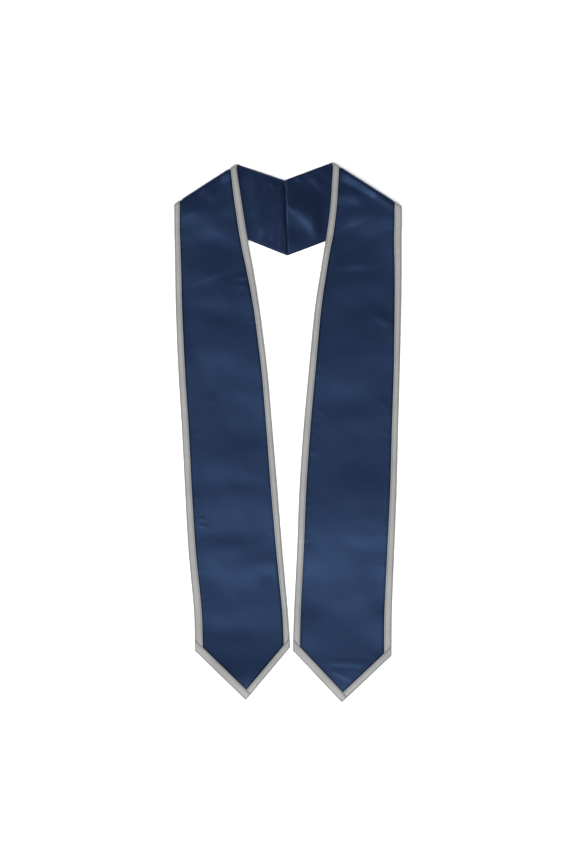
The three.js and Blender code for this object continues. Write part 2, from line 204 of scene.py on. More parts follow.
def movedOver(line, distance, toward):
    point, way = line
    square = np.array([-way[1], way[0]])
    if square @ (toward - point) < 0:
        square = -square
    return point + square * distance, way


def distanceTo(places, start, end):
    way = end - start
    share = np.clip(((places - start) @ way) / max(way @ way, 1e-12), 0, 1)
    return np.linalg.norm(places - (start + share[..., None] * way), axis=-1), share


def setOut(half):
    # the places in plan that a half is drawn from
    rows = np.array(half["sections"])
    fromMiddle = rows[:, 1] * layout["neckSpan"] / 2
    outer = np.stack([half["side"] * (fromMiddle + rows[:, 2] * layout["panelWidth"]),
                      half["level"] - rows[:, 0] * layout["panelLength"]], axis=1)
    neck = np.stack([half["side"] * fromMiddle, outer[:, 1] + rows[:, 3] * layout["shoulderRise"]], axis=1)
    seamTop = np.array([layout["backSeamX"] - layout["backSeamLean"] / 2,
                        layout["shoulderRise"] - layout["backDip"]])
    seamFoot = seamTop + [layout["backSeamLean"], -layout["backSeam"]]
    clear = np.array([half["side"] * layout["seamClear"], 0])
    tip = outer[-1] + (neck[-1] - outer[-1]) * half["tipShare"]
    tip[1] = outer[-1][1] - half["drop"] * layout["pointDrop"]
    blunt = np.array([half["side"] * layout["tipWidth"] / 2, 0])
    return {
        "outer": outer, "neck": neck, "trims": rows[:, 4:6], "downs": rows[:, 0],
        "seamTop": seamTop + clear, "seamFoot": seamFoot + clear,
        "tips": {"outer": tip + blunt, "neck": tip - blunt},
        "inward": awayFromNeck(unit(neck[0] - outer[0])),
    }


def backEnds(lines, share):
    share = np.asarray(share, float)[..., None]
    outer = lines["outer"][0] + (lines["seamFoot"] - lines["outer"][0]) * share
    outer = outer - np.array([0, layout["backBow"]]) * np.sin(math.pi * share)
    return outer, lines["neck"][0] + (lines["seamTop"] - lines["neck"][0]) * share


def placeOn(lines, on, along, across):
    if on == "back":
        outer, neck = backEnds(lines, along)
        return outer + (neck - outer) * across
    downs = lines["downs"]
    section = max(1, int(np.searchsorted(downs, along)))
    share = (along - downs[section - 1]) / (downs[section] - downs[section - 1])
    outer = lines["outer"][section - 1] + (lines["outer"][section] - lines["outer"][section - 1]) * share
    neck = lines["neck"][section - 1] + (lines["neck"][section] - lines["neck"][section - 1]) * share
    return outer + (neck - outer) * across


def frontHeight(lines, places):
    # the panel lies on the back, and comes down to the floor past the back's hidden edge
    fromCorner = places - lines["outer"][0]
    reach = layout["foldRadius"] + layout["stack"]
    fromFold = fromCorner @ lines["inward"] - reach
    spare = 2 * layout["foldRadius"] - layout["restingGap"]
    relaxed = ease(fromFold / layout["foldRelax"])
    edge = unit(backEnds(lines, 0.5)[0] - lines["outer"][0])
    past = fromCorner @ awayFromNeck(edge) - layout["edgeMargin"]
    fallen = sum(share * ease((past - start) / run) for start, run, share in layout["settle"])
    slow = 1 - ease(past / layout["slackRun"])
    return (layout["stack"] + layout["restingGap"]) * (1 - fallen) + spare * (1 - relaxed) * slow


def mainFoldsAt(name, lines, on, places):
    height = np.zeros(places.shape[:-1])
    for kind, along, across, along2, across2, spread, rise in mainFolds[name]:
        if kind != on:
            continue
        start, end = placeOn(lines, on, along, across), placeOn(lines, on, along2, across2)
        away, _ = distanceTo(places, start, end)
        height = np.maximum(height, rise * foldHeight * bell(away / (spread * foldSpread)))
    return height


# Creases of the cloth on top of the main folds, in millimetres from the middle of the frame: where each
# starts and ends, its height, and how far it runs out on its right and on its left, seen from its start
creases = {
    "left front": [
        (-107, 390, -83, 402, 2.0, 9, 6),  # under the shoulder fold, by its neck end
        (-137, 370, -119, 373, 0.6, 10, 14),  # two dimples below it
        (-125, 359, -105, 363, 0.6, 10, 12), (-160, 330, -139, 344, 0.3, 12, 16),
        (-137, 329, -75, 291, 0.2, 14, 26),  # soft band that falls across the panel
        (-164, 247, -78, 268, 0.1, 8, 24),
        (-154, 222, -95, 246, 0.12, 4, 14),  # fine crease
        (-80, 236, -60, 238, 0.45, 11, 8),  # puckers at the neck trim
        (-80, 223, -60, 225, 0.32, 8, 8), (-100, 228, -88, 226, 0.2, 7, 9),
        (-126, 46, -105, 50, 0.14, 8, 14),
        (-146, -3, -126, -8, 0.1, 5, 8),  # puckers at the outer trim
        (-139, -131, -124, -136, 0.2, 4, 5), (-138, -141, -122, -147, 0.2, 4, 6),
        (-137, -170, -126, -168, 0.15, 5, 7),
    ],
    "right front": [
        (80, 402, 142, 363, 2.4, 11, 8),  # bright roll along the shoulder fold
        (132, 369, 180, 339, 1.2, 18, 8), (84, 400, 120, 377, 0.35, 11, 8), (62, 363, 118, 357, 1.4, 8, 16),
        (104, 352, 124, 347, 0.15, 8, 10),
        (170, 348, 172, 252, 0.45, 30, 10),  # the outer side lifts a little
        (62, 306, 120, 334, 0.36, 11, 26), (70, 253, 140, 258, 0.5, 11, 28),
        (130, 184, 160, 160, 0.5, 12, 16),
        (142, 50, 154, 40, 0.2, 4, 5),  # puckers at the outer trim
        (141, 45, 152, 34, 0.2, 4, 5), (143, 6, 156, -6, 0.2, 7, 9),
        (45, 33, 54, 30, 0.2, 5, 7),  # and at the neck trim
        (34, -30, 44, -32, 0.2, 8, 10),
        (58, -352, 120, -356, 0.18, 7, 10),  # folds above the point
        (66, -363, 96, -379, 0.18, 6, 7),
    ],
    "left back": [
        (-10, 388, -26, 290, 0.5, 6, 9),  # a soft fan from the top of the seam down
        (-18, 386, -44, 300, 0.5, 6, 10), (-32, 390, -58, 330, 0.5, 6, 9), (-6, 352, -13, 284, 0.4, 5, 6),
        (-50, 396, -60, 352, 0.25, 7, 9), (-30, 386, -17, 372, 0.4, 7, 7),
        (-11.5, 392, -8, 300, 0.95, 44, 9),  # dark side of the seam
        (-5, 420, -2.6, 318, -0.9, 9, 4),  # the seam holds the lining down
        (-5, 400, -0.4, 252, -0.25, 3.6, 3.6),
    ],
    "right back": [
        (-5, 420, -2.6, 318, -0.5, 9, 4), (-5, 400, -0.4, 252, -0.55, 3.0, 3.2),
        (-6, 373, 70, 274, 0.48, 15, 46),  # the one great fold
        (18, 345, 60, 289, 0.34, 15, 28), (1, 351, 8, 334, 0.5, 5, 6), (30, 396, 58, 370, 0.95, 12, 12),
        (11, 392, 20, 384, 0.6, 7, 8),
    ],
}

# A crease fades towards its ends: over how many of its widths, at most what share of it, down to what height
creaseEnd = {"run": 1.2, "most": 0.45, "height": 0.25}

# Broad swells, in millimetres from the middle: where, half width, half height, and how far the cloth leans
# towards its foot there, in degrees
swells = {
    "left front": [
        (-118, 348, 50, 18, -1.6), (-142, 311, 20, 15, -1.3), (-125, 284, 22, 15, -1.3),
        (-136, 248, 20, 12, -1.3), (-90, 320, 18, 14, -1.6), (-118, 268, 60, 34, -1.4),
        (-110, 222, 60, 24, -1.4), (-110, 206, 45, 16, -0.5), (-110, 172, 50, 18, -0.9),
        (-142, 182, 18, 14, -1.0), (-96, 118, 44, 30, 1.6), (-90, 70, 50, 16, -0.5),
        (-74, -22, 34, 34, -1.8), (-118, -64, 30, 34, 1.4), (-60, -70, 18, 14, 1.0),
        (-95, -102, 54, 14, 1.1), (-88, -118, 60, 22, 1.4), (-92, -168, 64, 18, -1.9),
        (-40, -192, 26, 18, -2.2), (-86, -224, 40, 36, 0.6), (-80, -264, 70, 26, -1.4),
        (-150, 120, 16, 50, -2.0), (-120, -242, 20, 24, -1.4), (-32, -228, 14, 20, -2.4),
        (-38, -252, 22, 26, -2.2), (-38, -286, 22, 24, -1.8), (-72, -332, 70, 50, -3.2),
        (-78, -312, 60, 20, -1.7), (-44, -318, 22, 18, -1.0), (-72, -366, 56, 34, -3.5),
    ],
    "right front": [
        (82, 402, 9, 7, -6.0), (108, 290, 44, 18, -1.6), (110, 217, 60, 18, 0.8), (108, 180, 40, 18, -1.2),
        (80, 140, 22, 14, 0.8), (120, 126, 26, 10, -0.8), (98, 60, 46, 28, 1.7), (118, 8, 54, 26, 1.5),
        (104, -62, 40, 30, -1.4), (114, -119, 54, 34, 2.5), (122, -139, 24, 14, 1.2),
        (126, -162, 32, 30, 1.7), (98, -162, 64, 38, 1.5), (88, -200, 70, 60, 2.4),
        (28, -276, 28, 42, -2.8), (138, -232, 16, 18, -1.4), (140, -272, 18, 34, -2.4),
        (96, -264, 26, 24, 1.8), (88, -363, 14, 7, -1.6),
    ],
    "left back": [
        (-42, 302, 30, 22, 1.1),
    ],
    "right back": [
        (32, 358, 36, 36, -7.2), (54, 322, 16, 30, -3.6), (8, 300, 18, 20, -4.0), (6, 336, 9, 12, 2.0),
    ],
}

# The points lift off the floor: from where, over what length and how high, in millimetres
pointLift = {"left": ((-185, 130, 2.4), (-262, 150, 4.8)), "right": ((-292, 100, 2.8),)}

# The weave and the puckers that the seams draw into it
puckers = {
    "reach": 0.009,         # from a trim's seam into the cloth
    "spacing": 0.011,       # from one pucker to the next
    "height": 0.00014,
    "rollHeight": 0.00012,  # the cloth swells beside the seam, which holds it down
    "rollWidth": 0.004,
    "dishHeight": 0.0002,   # and from there it falls towards the middle of the panel
    "dishWidth": 0.024,
    "seamReach": 0.012,     # puckers at the seam of the back
    "seamHeight": 0.00012,
    "bodyHeight": 0.00007,  # slow rise and fall of the whole panel
    "bodyLength": 0.06,
}


def waves(seed, places, length, spread=0.5, count=14):
    # smooth noise with a given wave length, as a sum of plane waves, about -1 to 1
    draw = np.random.RandomState(seed)
    turn = draw.uniform(0, 2 * math.pi, count)
    scale = 2 * math.pi / (length * draw.uniform(1 - spread, 1 + spread, count))
    phase = draw.uniform(0, 2 * math.pi, count)
    ways = np.stack([np.cos(turn), np.sin(turn)], axis=1) * scale[:, None]
    return np.sin(places @ ways.T + phase).sum(axis=-1) * math.sqrt(2 / count) / 1.6


def alongWaves(seed, distance, length, count=9):
    draw = np.random.RandomState(seed)
    scale = 2 * math.pi / (length * draw.uniform(0.6, 1.7, count))
    phase = draw.uniform(0, 2 * math.pi, count)
    return np.sin(distance[..., None] * scale + phase).sum(axis=-1) * math.sqrt(2 / count) / 1.6


def alongPath(places, path):
    # distance to a path of points and how far along it the nearest place is
    best = np.full(places.shape[:-1], 1e9)
    along = np.zeros(places.shape[:-1])
    before = 0.0
    for start, end in zip(path[:-1], path[1:]):
        away, share = distanceTo(places, start, end)
        length = float(np.linalg.norm(end - start))
        nearer = away < best
        best = np.where(nearer, away, best)
        along = np.where(nearer, before + share * length, along)
        before += length
    return best, along


def creasesAt(part, places):
    fromMiddle = (places + layout["frameShift"]) / mm
    height = np.zeros(places.shape[:-1])
    for x, y, x2, y2, rise, right, left in creases[part]:
        start, end = np.array([x, y]), np.array([x2, y2])
        away, share = distanceTo(fromMiddle, start, end)
        reach = np.where(cross(end - start, fromMiddle - start) > 0, left, right)
        fade = min(creaseEnd["most"], creaseEnd["run"] * max(right, left) / np.linalg.norm(end - start))
        whole = ease(share / fade) * ease((1 - share) / fade)
        height += rise * mm * bell(away / reach) * (creaseEnd["height"] + (1 - creaseEnd["height"]) * whole)
    return height


def swellsAt(part, places):
    fromMiddle = (places + layout["frameShift"]) / mm
    height = np.zeros(places.shape[:-1])
    for x, y, halfWidth, halfHeight, lean in swells[part]:
        over = (fromMiddle[..., 0] - x) / halfWidth
        up = (fromMiddle[..., 1] - y) / halfHeight
        height += math.radians(lean) * halfHeight * mm * up * np.exp(-over ** 2 - up ** 2)
    return height


def fromTrims(name, lines, places):
    # how far a place on the front is from the inner edge of the nearest trim
    nearest = np.full(places.shape[:-1], 1.0)
    along = np.zeros(places.shape[:-1])
    for number, edge in enumerate(("outer", "neck")):
        path = np.vstack([lines[edge], lines["tips"][edge]])
        widths = lines["trims"][:, number] * layout["trimWidth"]
        slope = halves[name][edge + "Slope"] * layout["trimWidth"]
        before = 10.0 * number
        for k in range(len(path) - 1):
            away, share = distanceTo(places, path[k], path[k + 1])
            last = k == len(path) - 2
            width = slope if last else widths[k] + (widths[k + 1] - widths[k]) * share
            nearer = away - width < nearest
            length = np.linalg.norm(path[k + 1] - path[k])
            nearest = np.where(nearer, away - width, nearest)
            along = np.where(nearer, before + share * length, along)
            before += length
    return nearest, along


def seamPuckers(name, lines, on, places):
    # short ripples square to each trim, fading into the cloth, and the low roll beside the trim
    seed = halves[name]["seed"]
    if on == "back":
        away, along = alongPath(places, np.array([lines["seamTop"], lines["seamFoot"]]))
        drawn = 0.5 + 0.5 * alongWaves(seed + 70, along, puckers["spacing"] * 1.3)
        return puckers["seamHeight"] * np.exp(-(away / puckers["seamReach"]) ** 2) * drawn
    away, along = fromTrims(name, lines, places)
    into = np.abs(away) / puckers["reach"]
    drawn = 0.5 + 0.5 * alongWaves(seed, along, puckers["spacing"])
    strong = 0.55 + 0.45 * alongWaves(seed + 40, along, puckers["spacing"] * 7)
    roll = puckers["rollHeight"] * bell(np.clip((away - puckers["rollWidth"]) / puckers["rollWidth"], -1, 1))
    roll = roll * (0.7 + 0.3 * alongWaves(seed + 50, along, 0.05))
    roll = roll + puckers["dishHeight"] * ease(1 - away / puckers["dishWidth"])
    return puckers["height"] * np.exp(-into ** 2) * drawn * strong + roll


def wrinklesAt(name, lines, on, places):
    part = f"{name} {on}"
    height = creasesAt(part, places) + swellsAt(part, places) + seamPuckers(name, lines, on, places)
    if on == "front":
        up = (places[..., 1] + layout["frameShift"][1]) / mm
        for start, run, rise in pointLift[name]:
            height = height + rise * mm * ease((start - up) / run)
    body = waves(halves[name]["seed"] + 5, places, puckers["bodyLength"])
    return height + puckers["bodyHeight"] * body * (0.5 if on == "back" else 1)


# The band of a half as a fine net: rows from the tip up the front, round the fold and on to the back seam

net = {
    "rowStep": 0.0022,
    "columnStep": 0.0026,
    "foldTurns": 18,
    "edgeSteps": (0.0, 0.00015, 0.0004, 0.0008, 0.0015),   # closer rows and columns at the edges of the cloth
    "seamSteps": (0.0, 0.00015, 0.0004, 0.0008, 0.0014, 0.0021, 0.0029, 0.0038, 0.0049, 0.0062, 0.0078),
    "edgeRadius": 0.0009,     # rounding there
    "lift": 0.0012,           # the cloth never lies quite down
    "mainShare": 0.12,        # the dressed cloth lies flatter than the frame's main folds
    "openLift": 0.0006,       # and the back lies looser in the open neck
    "backRoom": 0.0012,       # from the back's inside to the panel on it, at the least
    "frontRoom": 0.2 * mm,
    "backLeast": 0.1 * mm,
    "coveredMost": 0.6 * mm,  # the back's relief where a panel lies on it
    "backRun": 0.02,          # from the fold to where the back has its full relief
    "soften": 0.5 * mm,       # how soft a least height sets in
    "panelEdge": (0.026, 0.024),  # the back goes under the panel from here before its edge, over this run
    "slantLeast": 0.2,
    "foldBlend": 0.12,        # share of the back over which its rows take up the fold's
    "seamRoom": 1e-3,
    "edgeShares": (0.2, 0.32),  # where the close columns end on a very short row
    "edgeLeft": 0.3,          # share of the thickness left at an edge
}


def slanted(width, rowWay, edgeWay):
    return width * layout["trimWidth"] / np.maximum(np.abs(cross(rowWay, edgeWay)), net["slantLeast"])


def pointRows(lines):
    steps = int(layout["pointDrop"] / net["rowStep"])
    share = np.arange(steps) / steps
    share[0] = layers["faceShy"] / layout["pointDrop"]
    outer = lines["tips"]["outer"] + (lines["outer"][-1] - lines["tips"]["outer"]) * share[:, None]
    neck = lines["tips"]["neck"] + (lines["neck"][-1] - lines["tips"]["neck"]) * share[:, None]
    inset = np.full(steps, layout["trimWidth"])
    return outer, neck, inset, inset


def frontRows(lines):
    last = len(lines["outer"]) - 1
    middles = (lines["outer"] + lines["neck"]) / 2
    at = []
    for section in range(last, 1, -1):
        steps = int(round(np.linalg.norm(middles[section] - middles[section - 1]) / net["rowStep"]))
        at.extend((section - step / steps) / last for step in range(steps))
    at = np.array(at + [1 / last])
    outer, neck = splineThrough(lines["outer"], at), splineThrough(lines["neck"], at)
    near = 1e-3
    outerWay, neckWay = [unit(splineThrough(lines[edge], at + near) - splineThrough(lines[edge], at - near))
                         for edge in ("outer", "neck")]
    rowWay = unit(neck - outer)
    outerTrim, neckTrim = [np.interp(at * last, np.arange(last + 1), widths) for widths in lines["trims"].T]
    return outer, neck, slanted(outerTrim, rowWay, outerWay), slanted(neckTrim, rowWay, neckWay)


def foldEnd(lines, nextOuter, nextNeck):
    # the rows at either end of the shoulder fold stand over each other
    reach = layout["foldRadius"] + layout["stack"]
    ends, ways = [], []
    for edge, toward in (("outer", nextOuter), ("neck", nextNeck)):
        way = unit(toward - lines[edge][0])
        ends.append(lines[edge][0] + way * reach / (way @ lines["inward"]))
        ways.append(way)
    rowWay = unit(ends[1] - ends[0])
    outerTrim, neckTrim = lines["trims"][0]
    return ends[0], ends[1], slanted(outerTrim, rowWay, ways[0]), slanted(neckTrim, rowWay, ways[1])


def between(start, end, shares):
    return [np.array([a + (b - a) * share for share in shares]) for a, b in zip(start, end)]


def backRows(lines, foldRow):
    arm = np.linalg.norm(lines["seamFoot"] - lines["outer"][0])
    first = np.linalg.norm(foldRow[0] - lines["outer"][0]) / arm
    steps = int(arm * (1 - first) / net["rowStep"])
    shares = first + (1 - first) * np.arange(1, steps) / steps
    shares = np.concatenate([shares[shares < 1 - net["seamSteps"][-1] / arm - net["seamRoom"]],
                             1 - np.array(net["seamSteps"])[::-1] / arm])
    outer, neck = backEnds(lines, shares)
    firstOuter, firstNeck = backEnds(lines, np.array([first]))
    keep = 1 - ease((shares - first) / net["foldBlend"])[:, None]
    outer = outer + (foldRow[0] - firstOuter) * keep
    neck = neck + (foldRow[1] - firstNeck) * keep
    rowWay = unit(neck - outer)
    outerWay = unit(lines["seamFoot"] - lines["outer"][0])
    neckWay = unit(lines["seamTop"] - lines["neck"][0])
    outerTrim = 1 + (lines["trims"][0, 0] - 1) * keep[:, 0]
    neckTrim = 1 + (lines["trims"][0, 1] - 1) * keep[:, 0]
    return outer, neck, slanted(outerTrim, rowWay, outerWay), slanted(neckTrim, rowWay, neckWay)


def laidRows(lines):
    # both ends of every row, the trims' widths along it, and its turn: 0 on the front, pi on the back
    point = pointRows(lines)
    front = frontRows(lines)
    frontFold = foldEnd(lines, lines["outer"][1], lines["neck"][1])
    nearFold = between([part[-1] for part in front], frontFold, np.arange(1, 5) / 5)
    backOuter, backNeck = backEnds(lines, 0.1)
    turns = np.arange(net["foldTurns"] + 1) / net["foldTurns"]
    fold = between(frontFold, foldEnd(lines, backOuter, backNeck), turns)
    back = backRows(lines, [part[-1] for part in fold])
    parts = [point, front, nearFold, fold, back]
    outer, neck, outerInset, neckInset = [np.concatenate([part[k] for part in parts]) for k in range(4)]
    counts = [len(part[0]) for part in parts]
    kind = np.repeat(["front", "front", "front", "fold", "back"], counts)
    turn = np.concatenate([np.zeros(sum(counts[:3])), math.pi * turns, np.full(counts[4], math.pi)])
    middle = (outer + neck) / 2
    along = np.concatenate([[0], np.cumsum(np.linalg.norm(np.diff(middle, axis=0), axis=1))])
    along = along + (layout["foldRadius"] + layers["face"][0]) * turn
    return {"outer": outer, "neck": neck, "outerInset": outerInset, "neckInset": neckInset,
            "turn": turn, "kind": kind, "along": along, "corner": counts[0]}


def atLeast(height, least):
    return (height + least + np.sqrt((height - least) ** 2 + net["soften"] ** 2)) / 2


def frontRelief(name, lines, places, laid):
    # no lower than the back, and past the back no lower than the floor
    relief = net["lift"] + net["mainShare"] * mainFoldsAt(name, lines, "front", places)
    relief = relief + wrinklesAt(name, lines, "front", places)
    under = (layout["stack"] + net["backRoom"]) * laid / (layout["stack"] + layout["restingGap"])
    under = np.minimum(under, layout["stack"] + net["backRoom"])
    return atLeast(laid + relief, under + net["frontRoom"]) - laid


def frontBase(name, lines, places):
    laid = frontHeight(lines, places)
    return laid + frontRelief(name, lines, places, laid)


def underPanel(name, lines, places):
    # 0 in the open neck, 1 under the front panel
    height = places[..., 1]
    order = np.argsort(lines["neck"][:, 1])
    edge = np.interp(height, lines["neck"][order, 1], lines["neck"][order, 0])
    before, run = net["panelEdge"]
    return ease(((places[..., 0] - edge) * halves[name]["side"] + before) / run)


def backBase(name, lines, places):
    fromFold = (places - lines["outer"][0]) @ lines["inward"] - layout["foldRadius"] - layout["stack"]
    relief = net["lift"] + net["mainShare"] * mainFoldsAt(name, lines, "back", places)
    covered = underPanel(name, lines, places)
    relief = relief + net["openLift"] * (1 - covered)
    relief = atLeast(relief + wrinklesAt(name, lines, "back", places), net["backLeast"])
    relief = relief + (np.minimum(relief, net["coveredMost"]) - relief) * covered
    return layout["stack"] + relief * ease(fromFold / net["backRun"])


def laidOver(name, lines, places, turn, kind):
    # the inside surface of the band at places in plan, and the way out through its layers
    base = np.concatenate([places, np.zeros(places.shape[:-1] + (1,))], axis=-1)
    out = np.zeros_like(base)
    front, fold, back = kind == "front", kind == "fold", kind == "back"
    base[front, ..., 2] = frontBase(name, lines, places[front])
    out[front, ..., 2] = 1
    base[back, ..., 2] = backBase(name, lines, places[back])
    out[back, ..., 2] = -1
    around = turn[fold][:, None]
    out[fold, ..., :2] = -np.sin(around)[..., None] * lines["inward"]
    out[fold, ..., 2] = np.cos(around)
    base[fold, ..., 2] = layout["stack"] + layout["foldRadius"]
    base[fold] += out[fold] * layout["foldRadius"]
    arm = lines["neck"][0] - lines["outer"][0]
    along = (places[fold] - lines["outer"][0]) @ unit(arm)
    room = np.minimum(along, np.linalg.norm(arm) - along) - layout["trimWidth"]
    bulge = layout["foldBulge"] * ease(room / layout["bulgeRun"]) * np.sin(around) ** 2
    base[fold] += out[fold] * bulge[..., None]
    crest = layout["stack"] + 2 * layout["foldRadius"] + np.zeros(places[fold].shape[:-1])
    base[fold, ..., 2] += frontRelief(name, lines, places[fold], crest) * np.cos(around / 2) ** 2
    return base, out


def roundedEdge(distance, radius):
    # share of the full thickness that is left at a distance from an edge
    away = 1 - np.clip(distance / radius, 0, 1)
    return net["edgeLeft"] + (1 - net["edgeLeft"]) * np.sqrt(1 - away ** 2)


def place(name, data):
    piece = bpy.data.objects.new(name, data)
    bpy.context.scene.collection.objects.link(piece)
    return piece


def meshFrom(name, vertices, faces, uv, weights):
    vertices = vertices + np.array([layout["frameShift"][0], layout["frameShift"][1], 0])
    mesh = bpy.data.meshes.new(name)
    mesh.from_pydata(vertices.tolist(), [], faces.tolist())
    mesh.update()
    layer = mesh.uv_layers.new(name="cloth")
    corners = np.empty(len(mesh.loops), dtype=np.int32)
    mesh.loops.foreach_get("vertex_index", corners)
    layer.data.foreach_set("uv", uv[corners].astype(np.float32).ravel())
    for label, values in weights.items():
        attribute = mesh.attributes.new(label, "FLOAT", "POINT")
        attribute.data.foreach_set("value", values.astype(np.float32).ravel())
    mesh.polygons.foreach_set("use_smooth", np.ones(len(mesh.polygons), dtype=bool))
    return place(name, mesh)


def closedSheet(name, inside, outside, uv, weights, turned):
    # two skins of a net, joined along their four borders
    rows, columns = inside.shape[:2]
    under = np.arange(rows * columns).reshape(rows, columns)
    over = under + rows * columns
    quads = [
        np.stack([over[:-1, :-1], over[:-1, 1:], over[1:, 1:], over[1:, :-1]], axis=-1).reshape(-1, 4),
        np.stack([under[:-1, :-1], under[1:, :-1], under[1:, 1:], under[:-1, 1:]], axis=-1).reshape(-1, 4),
        np.stack([under[:-1, 0], over[:-1, 0], over[1:, 0], under[1:, 0]], axis=-1),
        np.stack([under[1:, -1], over[1:, -1], over[:-1, -1], under[:-1, -1]], axis=-1),
        np.stack([under[0, 1:], over[0, 1:], over[0, :-1], under[0, :-1]], axis=-1),
        np.stack([under[-1, :-1], over[-1, :-1], over[-1, 1:], under[-1, 1:]], axis=-1),
    ]
    faces = np.concatenate(quads)
    if turned:
        faces = faces[:, ::-1]
    vertices = np.concatenate([inside.reshape(-1, 3), outside.reshape(-1, 3)])
    twice = {label: np.concatenate([values.ravel()] * 2) for label, values in weights.items()}
    return meshFrom(name, vertices, faces, np.concatenate([uv.reshape(-1, 2)] * 2), twice)


# The face and the lining of one half

def clothNet(name, lines, rows, shy, skip):
    # places of a layer whose edge stands shy of the band's own
    pick = slice(skip, None)
    outer, neck = rows["outer"][pick], rows["neck"][pick]
    length = np.linalg.norm(neck - outer, axis=1)[:, None]
    steps = np.array(net["edgeSteps"])
    near = np.minimum((shy + steps) / length, np.linspace(*net["edgeShares"], len(steps)))
    count = int(layout["panelWidth"] / net["columnStep"])
    across = np.arange(1, count) / count
    shares = np.concatenate([near, near[:, -1:] + (1 - 2 * near[:, -1:]) * across, 1 - near[:, ::-1]], axis=1)
    places = outer[:, None] + (neck - outer)[:, None] * shares[..., None]
    base, out = laidOver(name, lines, places, rows["turn"][pick], rows["kind"][pick])
    along = rows["along"][pick]
    side = np.minimum(shares, 1 - shares) * length - shy
    tip = np.broadcast_to((along - along[0])[:, None], side.shape)
    seam = np.broadcast_to((along[-1] - along)[:, None], side.shape)
    centre = (shares - 0.5) * length
    fromTrim = np.minimum(shares * length - rows["outerInset"][pick][:, None],
                          (1 - shares) * length - rows["neckInset"][pick][:, None])
    uv = np.stack([centre, np.broadcast_to(along[:, None], centre.shape)], axis=-1)
    return {"places": places, "base": base, "out": out, "border": np.minimum(side, tip), "seam": seam,
            "uv": uv, "along": along, "fromTrim": fromTrim}


def foldWear(rows, grid):
    # rubbed a little along the shoulder fold and the edges
    turn = rows["turn"][-len(grid["along"]):]
    fold = np.exp(-((turn - math.pi / 2) / clothEdge["wearTurn"]) ** 2)[:, None]
    edge = np.exp(-grid["border"] / clothEdge["wearRun"])
    return np.clip(np.maximum(fold, clothEdge["wearShare"] * edge), 0, 1)


clothEdge = {
    "turnFrom": 0.0006,       # the face turns down round the lining
    "turnRun": 0.0008,
    "shadowPlace": 0.0004,    # shadow beside a trim, widest at the point
    "shadowWidth": 0.0013,
    "pointWidth": 0.0009,
    "pointFrom": 300,         # millimetres below the middle
    "pointRun": 15,
    "seamWidth": 0.0012,      # painted shade on the lining beside the back seam
    "wearTurn": 0.9,          # rubbed round the shoulder fold, in radians to either side
    "wearRun": 0.0015,        # and in from the edges
    "wearShare": 0.6,
}


def trimShadow(name, lines, rows, grid):
    # painted shadow: the face's colour is darkened beside each trim, wider towards the point
    fromTrim = grid["fromTrim"]
    front = rows["kind"] == "front"
    fromTrim[front] = fromTrims(name, lines, grid["places"][front])[0]
    low = -(grid["places"][..., 1] + layout["frameShift"][1]) / mm
    wide = ease((low - clothEdge["pointFrom"]) / clothEdge["pointRun"])
    wide = clothEdge["shadowWidth"] + clothEdge["pointWidth"] * wide
    return np.exp(-((fromTrim - clothEdge["shadowPlace"]) / wide) ** 2)


def makeLayer(name, lines, rows, layer):
    # two skins through the thickness of the face or the lining, rounded at the edges
    onFace = layer == "face"
    grid = clothNet(name, lines, rows, layers[layer + "Shy"], 0 if onFace else 3)
    low, high = layers[layer]
    radius = net["edgeRadius"]
    if onFace:
        turnedDown = 1 - ease((grid["border"] - clothEdge["turnFrom"]) / clothEdge["turnRun"])
        low = low + (layers["turned"] - low) * turnedDown
        # painted shadow beside the trims, carried in the seam attribute
        seam = trimShadow(name, lines, rows, grid)
    else:
        radius = radius / 2
        # painted shade on the lining beside the back seam, carried in the seam attribute
        seam = np.exp(-(grid["seam"] / clothEdge["seamWidth"]) ** 2)
    thick = roundedEdge(np.minimum(grid["border"], grid["seam"]), radius)
    middle, half = (low + high) / 2, (high - low) / 2 * thick
    inside = grid["base"] + grid["out"] * (middle - half)[..., None]
    outside = grid["base"] + grid["out"] * (middle + half)[..., None]
    # seam carries the painted shade beside trims and back seam; wear the rubbed fold and edges
    weights = {"wear": foldWear(rows, grid), "seam": seam}
    turned = halves[name]["side"] > 0
    piece = closedSheet(f"{name}_{layer}_satin", inside, outside, grid["uv"], weights, turned)
    return piece, grid


# The grey trims: satin bands sewn on the face, a little puffed between their two seams

trim = {
    "sideColumns": (0.0, 0.0003, 0.0007, 0.0012, 0.0017, 0.0024, 0.0036),  # from each edge
    "endSteps": (0.0, 0.00015, 0.0004, 0.0008),
    "crown": 0.0002,
    "seamFromEdge": 0.0017,
    "seamDepth": 0.0001,
    "outerRadius": 0.0011,
    "innerRadius": 0.0005,
    "ripple": 0.00016,
    "rippleLength": 0.009,
    "sameAsRows": 0.035,      # above the corner the trim's rows are the cloth's own
    "puffShape": 0.7,
    "puffChange": 0.25,
    "seamWidth": 0.00045,
    "outerDrop": 0.0016,      # how far the rounded edges come down
    "innerDrop": 0.0007,
    "hemDrop": 0.0015,        # the underside reaches down round the cloth's edge
    "hemRun": 0.0009,
    "endRadius": 0.0006,
    "endDrop": 0.0014,
    "endRun": 0.001,
    "shade": 0.0005,          # widths of the painted shade line along a seam and of the rubbed edges
    "rubbed": 0.0008,
    "seeds": {"outer": 1, "neck": 2, "point_outer": 5, "point_neck": 7},
}


def trimColumns(width):
    # distances from the outer edge for every row, as many columns for each width
    near = np.array(trim["sideColumns"])
    width = width[:, None]
    return np.concatenate([near + 0 * width, width / 2, width - near[::-1]], axis=1)


